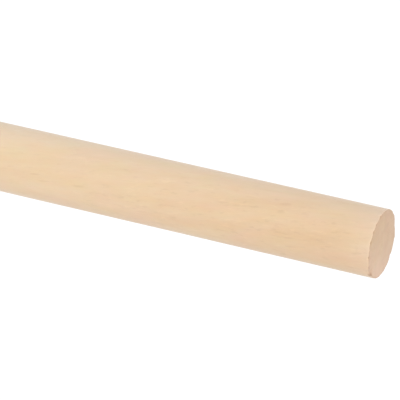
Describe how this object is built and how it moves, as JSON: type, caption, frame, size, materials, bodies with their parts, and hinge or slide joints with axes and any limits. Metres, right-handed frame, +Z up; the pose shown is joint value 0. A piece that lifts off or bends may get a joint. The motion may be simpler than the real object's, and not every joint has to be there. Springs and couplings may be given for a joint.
{
  "type": "wooden dowel rod",
  "caption": "Plain round wooden rod with square-sawn, lightly eased ends, for cutting to length, gluing into holes, or use as a pin, axle or rail.",
  "frame": {"origin": "centre of the lower sawn end, on the rod's axis", "axes": "+Z up along the rod's axis, from the lower end to the upper end; X and Y are any two directions across the rod"},
  "size_m": [0.025, 0.025, 0.3],
  "materials": {
    "bare_wood": "bare, fine-sanded pale beech with short darker flecks; sawn end grain slightly darker"
  },
  "bodies": {
    "root": {"dowel_rod": "bare_wood"}
  },
  "joints": []
}
